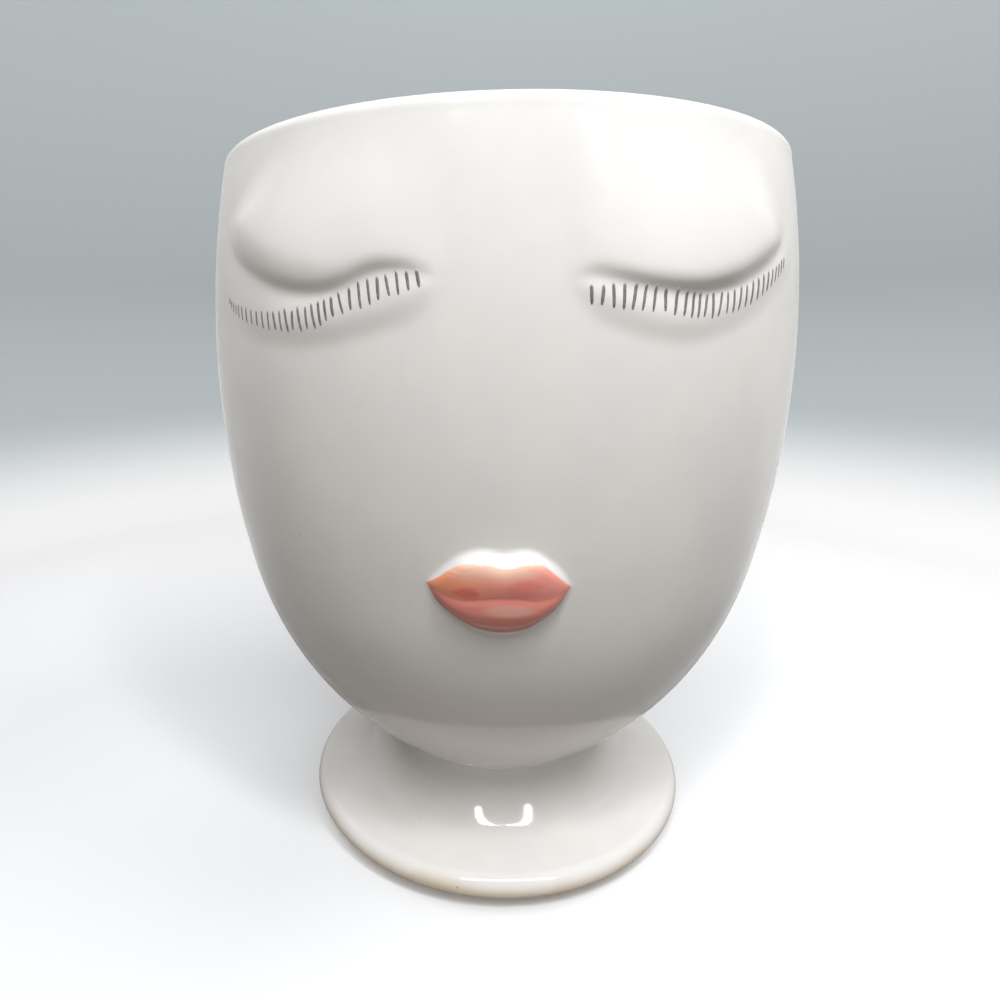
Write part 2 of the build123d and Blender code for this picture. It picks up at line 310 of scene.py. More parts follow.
# %% Field of one eye
EYE_INNER, EYE_OUTER, EYE_STEP_DEGREES = 4.0, 64.0, 0.25
EYE_LOW, EYE_HIGH, EYE_STEP = 127.0, 166.5, 0.3
BROW_LOW, LID_HIGH = 136.0, 158.0
EYE_BLUR = 0.7
BROW_TOP, BROW_ROLL_SHARE, TEMPLE_ROUND = 165.5, 0.6, 13.0
LID_TURN, LID_TUCK, LID_TUCK_START, LID_UNDER, LEAST_OPEN = 5.2, 0.6, 0.45, 1.5, 1.0
EYES = {
    "left": {
        "crease": ([4, 9.4, 12.6, 15.9, 19.3, 22.1, 24.5, 27, 30.9, 36, 41.4, 46.3, 50.9, 54, 64],
                   [140, 141.7, 142.9, 143.3, 142.6, 141.2, 140.3, 140.0, 140.2, 141.4, 143.6, 146.2,
                    149.4, 152, 160]),
        "lid": ([4, 8.7, 9.9, 11.9, 16, 20.5, 25.3, 30.9, 36.7, 43.2, 49.7, 64],
                [142, 141, 139, 137.2, 135.4, 134.1, 132.9, 132.4, 132.6, 133.9, 135.9, 142]),
        "temple": ([127, 150, 153, 157, 161, 165, 167], [57, 57, 56, 51.5, 48, 43, 42]),
        "brow roll": ([4, 16, 22, 28, 36, 46, 64], [2.2, 2.4, 3.6, 6.0, 8.0, 9.0, 9.0]),
        "brow proud": ([4, 8, 11, 13.5, 17, 21, 28, 36, 44, 51, 56, 64],
                       [0, 0, 0.6, 1.0, 1.4, 1.6, 1.9, 2.0, 1.9, 1.4, 0.7, 0]),
        "lid proud": ([4, 8, 10, 13, 18, 26, 33, 40, 46, 52, 56, 64],
                      [0, 0, 0.4, 0.6, 0.7, 0.7, 0.6, 0.4, 0.3, 0.1, 0, 0]),
    },
    "right": {
        "crease": ([4, 9.8, 11.7, 14.5, 17.4, 20.9, 24.1, 28.1, 31.4, 35, 39.2, 43.3, 48.7, 52, 64],
                   [140, 141.2, 142.0, 141.5, 140.8, 140.1, 139.7, 139.6, 140.2, 141.2, 143.1, 145.2,
                    148.2, 150.4, 158]),
        "lid": ([4, 8.6, 10.1, 12, 14.8, 18.2, 21.8, 24.7, 28.7, 32.1, 36.5, 41.7, 47.5, 64],
                [142, 141.6, 139.5, 137, 135.6, 134.2, 133.2, 132.9, 133.2, 134.0, 135.6, 138.1, 141.4, 150]),
        "temple": ([127, 148, 152, 156, 161, 165, 167], [55, 55, 53, 50.5, 48.5, 46.5, 45.5]),
        "brow roll": ([4, 20, 30, 45, 64], [2.2, 2.6, 3.6, 5.0, 5.0]),
        "brow proud": ([4, 8, 11, 13.5, 17, 21, 28, 36, 44, 51, 56, 64],
                       [0, 0, 0.7, 1.1, 1.5, 1.8, 2.1, 2.2, 2.0, 1.3, 0.6, 0]),
        "lid proud": ([4, 8, 10, 13, 18, 26, 33, 40, 46, 51, 55, 64],
                      [0, 0, 0.4, 0.6, 0.7, 0.7, 0.6, 0.5, 0.4, 0.2, 0, 0]),
    },
}
eye_angles = np.arange(EYE_INNER, EYE_OUTER + GRID_MARGIN, EYE_STEP_DEGREES)
eye_heights = np.arange(EYE_LOW, EYE_HIGH + GRID_MARGIN, EYE_STEP)


def eye_field(eye):
    """Height of the clay over the bowl for one eye, and the crease's height at each angle."""
    height = eye_heights[:, None]
    along = {name: smooth_line(*eye[name])(eye_angles) for name in eye if name != "temple"}
    crease, lid_edge = along["crease"], along["lid"]
    fade = soft_step((BROW_TOP - height) / (BROW_TOP - crease - BROW_ROLL_SHARE * along["brow roll"]))
    temple = soft_step((smooth_line(*eye["temple"])(height) - eye_angles) / TEMPLE_ROUND)
    brow = along["brow proud"] * round_step((height - crease) / along["brow roll"]) * fade * temple
    open_lid = np.maximum(crease - lid_edge, LEAST_OPEN)
    inside = np.clip((height - lid_edge) / open_lid, 0, 2)
    tucked = LID_TUCK * soft_step((inside - LID_TUCK_START) / (1 - LID_TUCK_START))
    lid = soft_step((height - lid_edge) / LID_TURN + 0.5) * (1 - tucked)
    lid = lid * along["lid proud"] * soft_step((crease + LID_UNDER - height) / LID_UNDER)
    return blurred(np.maximum(brow, lid), EYE_BLUR / EYE_STEP), crease


# %% Press on the brows and lids
eye_pieces = {}
for side_name, side in (("left", -1), ("right", 1)):
    field, crease = eye_field(EYES[side_name])
    above = eye_heights[:, None] - crease
    brow_field = field - OVERLAP_DIP * np.maximum(-above, 0) ** 2
    lid_field = field - OVERLAP_DIP * np.maximum(above, 0) ** 2
    order = slice(None, None, side)
    for kind, piece_field, rows in (
        ("brow", brow_field, eye_heights >= BROW_LOW), ("eyelid", lid_field, eye_heights <= LID_HIGH)
    ):
        piece = pad(
            f"{side_name}_{kind}_pad", side * eye_angles[order],
            eye_heights[rows], piece_field[rows][:, order],
        )
        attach(piece, "planter")
        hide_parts(f"{side_name}_{kind}")
        eye_pieces[side_name, kind] = piece
        print(f"{piece.name}: {len(piece.data.polygons)} faces, {piece_field.max():.1f} mm proud")

# %% [markdown]
# ## Lips
# The lips are one more pad: two rolls with a parting groove between them. The paint starts a little below
# the top of the upper roll, so a white lit slope shows above it. Lines across the mouth give the heights
# of the relief's top, the paint's top, the parting and the bottom, and the section between them is drawn
# column by column. Two attributes stay on the mesh, because they follow the relief and not any straight
# direction: where the paint is, and how far a point has risen from the lips' lower edge (-1) over the
# parting (0) to the paint's upper edge (1).

# %% Field of the lips
LIP_REACH, LIP_STEP_DEGREES = 15.3, 0.18
LIP_LOW, LIP_HIGH, LIP_STEP = 75.0, 101.0, 0.2
LIP_BLUR, MOUTH_RADIUS, LEAST_ROLL = 0.5, 69.5, 0.2
lip_angles = np.arange(-LIP_REACH, LIP_REACH + GRID_MARGIN, LIP_STEP_DEGREES)
lip_heights = np.arange(LIP_LOW, LIP_HIGH + GRID_MARGIN, LIP_STEP)
lip_x = MOUTH_RADIUS * np.sin(np.radians(lip_angles))
slope_top = smooth_line(
    [-18, -13.6, -10.1, -7.4, -5.2, -2.6, 0.3, 3.2, 5.7, 7.7, 10.1, 12.7, 18],
    [88.6, 88.8, 91.8, 94.0, 95.1, 95.4, 94.8, 95.4, 95.0, 93.5, 91.7, 88.6, 88.2],
)(lip_x)
paint_top = smooth_line(
    [-18, -13.8, -11.7, -9.3, -7.4, -5.1, -2.6, 0.3, 3.1, 5.7, 7.6, 9.3, 11.0, 12.6, 18],
    [88.6, 88.7, 90.0, 91.9, 93.1, 93.5, 93.5, 92.9, 93.4, 93.6, 92.9, 91.4, 89.8, 88.4, 88.2],
)(lip_x)
parting = smooth_line(
    [-18, -13.8, -11.7, -10.1, -8.4, -6.1, -3.5, -1.2, 1.3, 3.9, 5.9, 7.8, 9.8, 11.7, 12.7, 18],
    [88.5, 88.5, 87.5, 86.8, 86.5, 86.4, 86.9, 87.2, 87.2, 87.0, 86.6, 86.6, 86.9, 87.8, 88.2, 88.2],
)(lip_x)
lip_bottom = smooth_line(
    [-18, -13.9, -12.6, -10.6, -8.6, -6.6, -4.2, -1.8, 0.9, 3.6, 5.6, 7.9, 9.8, 11.4, 12.8, 18],
    [88.3, 88.2, 85.6, 83.4, 81.8, 80.6, 79.5, 79.0, 78.9, 79.3, 80.0, 81.6, 83.3, 85.2, 88.0, 88.1],
)(lip_x)
lip_proud = smooth_line(
    [-18, -14.4, -13.3, -11.5, -9, -5, 0, 5, 8.5, 10.8, 12.3, 13.3, 18],
    [0, 0, 0.5, 1.4, 2.4, 3.1, 3.4, 3.2, 2.5, 1.5, 0.6, 0, 0],
)(lip_x)
upper, lower = np.maximum(paint_top - parting, LEAST_ROLL), np.maximum(parting - lip_bottom, LEAST_ROLL)
EDGE_BELOW, EDGE_TURN = 1.3, 0.1
LOWER_ROLL_SHARES, LOWER_TURN_SHARE, UPPER_ROLL_SHARES = (0.22, 0.5), 0.18, (0.14, 0.42, 0.75)
section_heights = np.array([
    lip_bottom - EDGE_BELOW, lip_bottom - EDGE_TURN,
    *(lip_bottom + share * lower for share in LOWER_ROLL_SHARES),
    parting - LOWER_TURN_SHARE * lower, parting,
    *(parting + share * upper for share in UPPER_ROLL_SHARES),
    paint_top, (paint_top + slope_top) / 2, slope_top,
])
SECTION_SHARES = [0.0, 0.2, 0.72, 0.95, 0.96, 0.85, 0.95, 1.0, 0.96, 0.82, 0.42, 0.0]
lip_field = np.column_stack([
    np.interp(lip_heights, section, SECTION_SHARES) * most
    for section, most in zip(section_heights.T, lip_proud)
])
lip_field = blurred(lip_field, LIP_BLUR / LIP_STEP)
lips = pad("lips_pad", lip_angles, lip_heights, lip_field)
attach(lips, "planter")
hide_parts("lips")

PAINT_SOFT = 0.35
inside_paint = np.minimum(paint_top - lip_heights[:, None], lip_heights[:, None] - lip_bottom)
paint = soft_step(inside_paint / PAINT_SOFT + 0.5)
above = lip_heights[:, None] - parting
rise = np.clip(np.where(above > 0, above / upper, above / lower), -1, 1)
for name, values in (("paint", paint), ("rise", rise)):
    kept = lips.data.attributes.new(name, "FLOAT", "POINT")
    kept.data.foreach_set("value", np.tile(values.ravel(), 2).astype(np.float32))
print(f"lips: {len(lips.data.polygons)} faces, {lip_field.max():.1f} mm proud")

# %% [markdown]
# ## Kiln marks
# Glaze is never one flat white. It is a little thicker here and thinner there, it carries a few specks
# of iron from the clay, and its skin has a faint ripple. White glaze, coral paint and lash colour all lie
# under the same kind of skin, so these marks are one node group. It puts out two masks and a height, and
# each material decides what to do with them. It reads Object coordinates in metres, so the marks keep
# their size on every piece.

# %% Tools for node trees
def feed(tree, value, socket):
    """Give an input its value, or link it to the socket that carries one."""
    if isinstance(value, bpy.types.NodeSocket):
        tree.links.new(value, socket)
    else:
        socket.default_value = value


def add_node(tree, kind, **settings):
    """A new node. A setting is a property, or an input's name with its value or the socket that feeds it."""
    node = tree.nodes.new(kind)
    for key, value in settings.items():
        if key in node.inputs:
            feed(tree, value, node.inputs[key])
        else:
            setattr(node, key, value)
    return node


def srgb(*channels):
    """A colour written as 0 to 255 on a screen, in the linear values that shaders use."""
    shares = [channel / 255 for channel in channels]
    return tuple(s / 12.92 if s <= 0.04045 else ((s + 0.055) / 1.055) ** 2.4 for s in shares) + (1.0,)


def mixed(tree, share, first, second):
    """A colour mix of two colours, or of sockets that carry them, by a mask's socket."""
    node = add_node(tree, "ShaderNodeMix", data_type="RGBA")
    for value, index in ((share, 0), (first, 6), (second, 7)):
        feed(tree, value, node.inputs[index])
    return node.outputs[2]


def ranged(tree, value, low, high, to_low=0.0, to_high=1.0, smooth=False):
    """A socket's value moved from one range to another and kept inside it."""
    node = add_node(tree, "ShaderNodeMapRange", clamp=True)
    node.interpolation_type = "SMOOTHSTEP" if smooth else "LINEAR"
    tree.links.new(value, node.inputs["Value"])
    for name, number in (("From Min", low), ("From Max", high), ("To Min", to_low), ("To Max", to_high)):
        node.inputs[name].default_value = number
    return node.outputs["Result"]


def summed(tree, operation, first, second):
    """A Math node on two values, each a socket or a number."""
    node = add_node(tree, "ShaderNodeMath", operation=operation)
    feed(tree, first, node.inputs[0])
    feed(tree, second, node.inputs[1])
    return node.outputs[0]


print("tools ready for nodes, colours, ranges and sums")

# %% Node group for kiln marks
SPECKLED_SHARE = 0.2


def kiln_marks():
    """Group: a place, the scales of the marks and the size of a speck in; two masks and a height out."""
    group = bpy.data.node_groups.new("kiln_marks", "ShaderNodeTree")
    for name, kind, start in (
        ("Place", "NodeSocketVector", None),
        ("Mottle Scale", "NodeSocketFloat", 45.0),
        ("Speck Scale", "NodeSocketFloat", 150.0),
        ("Speck Size", "NodeSocketFloat", 0.03),
    ):
        socket = group.interface.new_socket(name, in_out="INPUT", socket_type=kind)
        if start is not None:
            socket.default_value = start
    for name in ("Mottle", "Specks", "Ripple"):
        group.interface.new_socket(name, in_out="OUTPUT", socket_type="NodeSocketFloat")
    given = add_node(group, "NodeGroupInput").outputs
    place = given["Place"]
    clouds = add_node(
        group, "ShaderNodeTexNoise", Vector=place, Scale=given["Mottle Scale"], Detail=4.0, Roughness=0.55
    )
    cells = add_node(group, "ShaderNodeTexVoronoi", Vector=place, Scale=given["Speck Scale"], Randomness=1.0)
    near = summed(group, "LESS_THAN", cells.outputs["Distance"], given["Speck Size"])
    pick = add_node(group, "ShaderNodeSeparateColor", Color=cells.outputs["Color"])
    rare = summed(group, "LESS_THAN", pick.outputs["Red"], SPECKLED_SHARE)
    specks = summed(group, "MULTIPLY", near, rare)
    ripple = add_node(group, "ShaderNodeTexNoise", Vector=place, Scale=110.0, Detail=2.0).outputs["Fac"]
    add_node(group, "NodeGroupOutput", Mottle=clouds.outputs["Fac"], Specks=specks, Ripple=ripple)
    return group


marks_group = kiln_marks()
print("kiln marks:", ", ".join(item.name for item in marks_group.interface.items_tree))

# %% [markdown]
# ## White glaze
# The glaze is a glassy coat over a white body: a Principled shader with low roughness. The marks dim its
# white a little where the coat is thick, blur the gloss here and there and add the specks. On the foot,
# the glaze runs off the round edge and lets the buff clay through, and the ring it stands on is bare.
# The buff also reaches up over the lower half of the round edge, where it is partly painted shade on the
# side that faces down. Height above the table says where that is, broken up by the mottling so that the
# line isn't ruled.

# %% White glaze
MOTTLE_SPREAD = (0.3, 0.7)
GLOSS = (0.05, 0.11)
RIPPLE_HEIGHT = 0.04 * MM
GLAZE_IOR = 1.5
WHITE_SPREAD = (0.32, 0.68)
WHITE_THIN, WHITE_THICK, SPECK = srgb(239, 238, 235), srgb(234, 233, 231), srgb(206, 198, 188)


def fired(name):
    """A glazed material with its marks placed and no colour yet, and the parts that a colour needs."""
    material = bpy.data.materials.new(name)
    material.use_nodes = True
    tree = material.node_tree
    shader = tree.nodes["Principled BSDF"]
    shader.inputs["IOR"].default_value = GLAZE_IOR
    place = add_node(tree, "ShaderNodeTexCoord").outputs["Object"]
    marks = add_node(tree, "ShaderNodeGroup", node_tree=marks_group, Place=place)
    dull = ranged(tree, marks.outputs["Mottle"], *MOTTLE_SPREAD, *GLOSS)
    tree.links.new(dull, shader.inputs["Roughness"])
    ripple = marks.outputs["Ripple"]
    bump = add_node(tree, "ShaderNodeBump", Strength=1.0, Distance=RIPPLE_HEIGHT, Height=ripple)
    tree.links.new(bump.outputs["Normal"], shader.inputs["Normal"])
    return material, tree, place, marks, shader


def white_colour(tree, marks):
    """The mottled white with its specks, as a socket."""
    thick = ranged(tree, marks.outputs["Mottle"], *WHITE_SPREAD, smooth=True)
    white = mixed(tree, thick, WHITE_THIN, WHITE_THICK)
    return mixed(tree, marks.outputs["Specks"], white, SPECK)


white_glaze, tree, place, marks, shader = fired("white_glaze")
tree.links.new(white_colour(tree, marks), shader.inputs["Base Color"])
print("white glaze:", len(tree.nodes), "nodes")

# %% Foot glaze
EDGE_WANDER = 6.0 * MM
# The buff band reaches up past the edge's middle: thinned glaze, and painted shade on the edge's downward
# half.
THIN_GLAZE_AND_SHADE_LEVELS, GLAZE_ENDS = (8.6 * MM, 4.6 * MM), (2.2 * MM, 1.4 * MM)
IRON_SCALE, IRON_SIZE = 420.0, 0.14
BUFF_AND_SHADE, IRON, BARE_CLAY, BARE_ROUGHNESS = srgb(216, 204, 184), srgb(168, 138, 106), srgb(222, 208, 186), 0.8

foot_glaze, tree, place, marks, shader = fired("foot_glaze")
level = add_node(tree, "ShaderNodeSeparateXYZ", Vector=place)
wander = summed(tree, "MULTIPLY", summed(tree, "SUBTRACT", marks.outputs["Mottle"], 0.5), EDGE_WANDER)
edge_level = summed(tree, "ADD", level.outputs["Z"], wander)
# Buff from thin glaze, partly painted shade on the lower half of the round edge.
thin_glaze_and_shade = ranged(tree, edge_level, *THIN_GLAZE_AND_SHADE_LEVELS, smooth=True)
bare = ranged(tree, edge_level, *GLAZE_ENDS)
iron = add_node(tree, "ShaderNodeGroup", node_tree=marks_group, Place=place)
iron.inputs["Speck Scale"].default_value = IRON_SCALE
iron.inputs["Speck Size"].default_value = IRON_SIZE
buff = mixed(tree, iron.outputs["Specks"], BUFF_AND_SHADE, IRON)
tinted = mixed(tree, thin_glaze_and_shade, white_colour(tree, marks), buff)
tree.links.new(mixed(tree, bare, tinted, BARE_CLAY), shader.inputs["Base Color"])
gloss = ranged(tree, marks.outputs["Mottle"], *MOTTLE_SPREAD, *GLOSS)
rough = summed(tree, "MULTIPLY", bare, BARE_ROUGHNESS)
tree.links.new(summed(tree, "MAXIMUM", gloss, rough), shader.inputs["Roughness"])

for piece in (bowl, *eye_pieces.values()):
    piece.data.materials.append(white_glaze)
foot.data.materials.append(foot_glaze)
print("white glaze on", 1 + len(eye_pieces), "pieces, foot glaze on the foot")

# %% [markdown]
# ## Coral lips
# The lips are brushed with a thin coral wash, so they are paler where the brush ran dry, orange at one
# corner, pinker at the other, and darker at two dabs where the brush was set down. The top of the upper
# roll turns a paler peach, partly painted light where it faces up. The lower lip is a duller rose with a
# pale middle that is a painted highlight, and it darkens towards its lower edge, partly painted shade where
# it turns under. A dark line of painted shade runs along the parting groove. Broad soft blends across the
# mouth and along the rise give the hue, noise that is stretched sideways gives the brush's streaks, and the
# paint attribute decides where the wash ends and the white glaze begins.

# %% Coral wash
# The peach is a paler wash on the upper roll's top, partly painted light where that roll faces up.
ORANGE, PINK, PEACH_AND_LIT_TOP = srgb(255, 160, 120), srgb(251, 156, 144), srgb(254, 208, 186)
LEFT_DAB, RIGHT_DAB = srgb(242, 124, 102), srgb(246, 142, 132)
# The lower lip's pale rose is a painted highlight; its deep rose is deeper paint and painted shade where the
# lip turns under.
ROSE, DEEP_ROSE_AND_SHADE, ROSE_HIGHLIGHT = srgb(238, 144, 130), srgb(226, 112, 96), srgb(242, 176, 162)
# The parted colour is painted shade in the parting groove.
DRY_BRUSH, PARTING_SHADE = srgb(246, 182, 162), srgb(184, 90, 78)
HUE_TURN = (-9.0 * MM, 5.0 * MM)
STREAK_STRETCH = (60.0, 60.0, 420.0)
DAB_ROUGH = 0.9
DAB_EDGE, DAB_FULL = 1.0, 0.15

coral_glaze, tree, place, marks, shader = fired("coral_glaze")
position = add_node(tree, "ShaderNodeSeparateXYZ", Vector=place)
across, level = position.outputs["X"], position.outputs["Z"]
brush = add_node(tree, "ShaderNodeMapping", Vector=place, Scale=STREAK_STRETCH).outputs["Vector"]
streaks = add_node(tree, "ShaderNodeTexNoise", Vector=brush, Scale=4.0, Detail=3.0, Roughness=0.6)


def dab(middle_x, middle_z, wide, tall):
    """Mask of one soft patch on the lips, in millimetres: full in its middle, nothing at its edge."""
    aside = summed(tree, "DIVIDE", summed(tree, "SUBTRACT", across, middle_x * MM), wide * MM)
    upward = summed(tree, "DIVIDE", summed(tree, "SUBTRACT", level, middle_z * MM), tall * MM)
    far = summed(tree, "ADD", summed(tree, "POWER", aside, 2.0), summed(tree, "POWER", upward, 2.0))
    rough = summed(tree, "MULTIPLY", summed(tree, "SUBTRACT", streaks.outputs["Fac"], 0.5), DAB_ROUGH)
    return ranged(tree, summed(tree, "ADD", far, rough), DAB_EDGE, DAB_FULL, smooth=True)


rise = add_node(tree, "ShaderNodeAttribute", attribute_name="rise").outputs["Fac"]
upper_wash = mixed(tree, ranged(tree, across, *HUE_TURN, smooth=True), ORANGE, PINK)
# Paler towards the top of the upper roll: partly painted light where it turns up.
peach_and_lit_top = summed(tree, "MULTIPLY", ranged(tree, rise, 0.35, 0.95, smooth=True), dab(-1.0, 92.6, 10.0, 6.0))
upper_wash = mixed(tree, peach_and_lit_top, upper_wash, PEACH_AND_LIT_TOP)
upper_wash = mixed(tree, dab(-6.3, 87.9, 2.9, 1.6), upper_wash, LEFT_DAB)
upper_wash = mixed(tree, dab(4.3, 88.9, 4.2, 2.4), upper_wash, RIGHT_DAB)
# Darker towards the lower lip's edge, partly painted shade where it turns under, and a pale middle that is a
# painted highlight.
lower_wash = mixed(tree, ranged(tree, rise, -0.55, -1.0, smooth=True), ROSE, DEEP_ROSE_AND_SHADE)
lower_wash = mixed(tree, dab(1.4, 84.6, 6.0, 1.5), lower_wash, ROSE_HIGHLIGHT)
wash = mixed(tree, ranged(tree, rise, -0.05, 0.02), lower_wash, upper_wash)
wash = mixed(tree, ranged(tree, streaks.outputs["Fac"], 0.52, 0.75, 0.0, 0.3), wash, DRY_BRUSH)
# A dark line along the parting: painted shade in the groove.
parting_shade_mask = ranged(tree, summed(tree, "ABSOLUTE", rise, 0.0), 0.075, 0.0, 0.0, 0.5, smooth=True)
wash = mixed(tree, parting_shade_mask, wash, PARTING_SHADE)
cover = add_node(tree, "ShaderNodeAttribute", attribute_name="paint")
painted = mixed(tree, cover.outputs["Fac"], white_colour(tree, marks), wash)
tree.links.new(painted, shader.inputs["Base Color"])
lips.data.materials.append(coral_glaze)
print("coral wash on the lips")

# %% [markdown]
# ## Lashes
# The lashes are short strokes of grey underglaze, set side by side along the lower lid with a fine brush.
# They repeat along a line and lie on a surface, which is what Geometry Nodes are for. The guide is a
# curve on the lid with one point for each stroke, because the hand that set them went closer together
# towards the temple. Its radius and tilt say how long a stroke is there and how far it leans. The nodes
# set one thin stroke at each point with a little random change, make them real, and press every point on
# the clay with a ray towards the axis. A stroke is a few hundredths of a millimetre thick, as paint is.

# %% One brush stroke
STROKE_ROWS = 9
STROKE_PLACES, STROKE_WIDTH_SHARES = [0, 0.05, 0.15, 0.6, 0.9, 1], [0.5, 0.85, 1.0, 0.97, 0.84, 0.45]


def stroke_template():
    """A flat tapered stroke one unit long and one wide: a front and a back sheet with a rim."""
    along = np.linspace(0, 1, STROKE_ROWS)
    half = 0.5 * np.interp(along, STROKE_PLACES, STROKE_WIDTH_SHARES)
    front = [(share * half[row], 0.5 - along[row], 0) for row in range(STROKE_ROWS) for share in (-1, 0, 1)]
    index = np.arange(3 * STROKE_ROWS).reshape(STROKE_ROWS, 3)
    quads = np.dstack([index[:-1, :-1], index[1:, :-1], index[1:, 1:], index[:-1, 1:]]).reshape(-1, 4)
    border = np.concatenate([index[0, :0:-1], index[:-1, 0], index[-1, :-1], index[:0:-1, -1]])
    back = len(front)
    sides = np.column_stack([border, border + back, np.roll(border, -1) + back, np.roll(border, -1)])
    mesh = bpy.data.meshes.new("stroke")
    mesh.from_pydata(front + front, [], np.vstack([quads, quads[:, ::-1] + back, sides]).tolist())
    for name, values in (("lift", [1.0] * back + [0.0] * back), ("along", list(np.repeat(along, 3)) * 2)):
        mesh.attributes.new(name, "FLOAT", "POINT").data.foreach_set("value", values)
    made = bpy.data.objects.new("stroke", mesh)
    scene.collection.objects.link(made)
    return made


stroke = stroke_template()
print(f"stroke: {len(stroke.data.polygons)} faces")

# %% Lash colour
LASH_DARK, LASH_WORN, LASH_END = srgb(116, 115, 121), srgb(142, 141, 146), srgb(190, 188, 188)

lash_glaze, tree, place, marks, shader = fired("lash_glaze")
end = add_node(tree, "ShaderNodeAttribute", attribute_name="along")
middle = summed(tree, "ABSOLUTE", summed(tree, "SUBTRACT", end.outputs["Fac"], 0.5), 0.0)
grain = add_node(tree, "ShaderNodeTexNoise", Vector=place, Scale=900.0, Detail=2.0)
grey = mixed(tree, ranged(tree, grain.outputs["Fac"], 0.35, 0.7), LASH_DARK, LASH_WORN)
faint = ranged(tree, middle, 0.34, 0.5, 0.0, 0.55, smooth=True)
tree.links.new(mixed(tree, faint, grey, LASH_END), shader.inputs["Base Color"])
print("lash colour: grey underglaze, fainter at the ends of a stroke")

# %% Nodes that set the lashes
STROKE_WIDTH, PAINT_THICKNESS, UNEVEN = 0.56 * MM, 0.03 * MM, 0.14
LEAN_CHANGE, SHIFT_ASIDE, SHIFT_UPWARD = 0.7, 2.0 * MM, 1.6 * MM
RAY_START, RAY_REACH = 6.0 * MM, 30.0 * MM


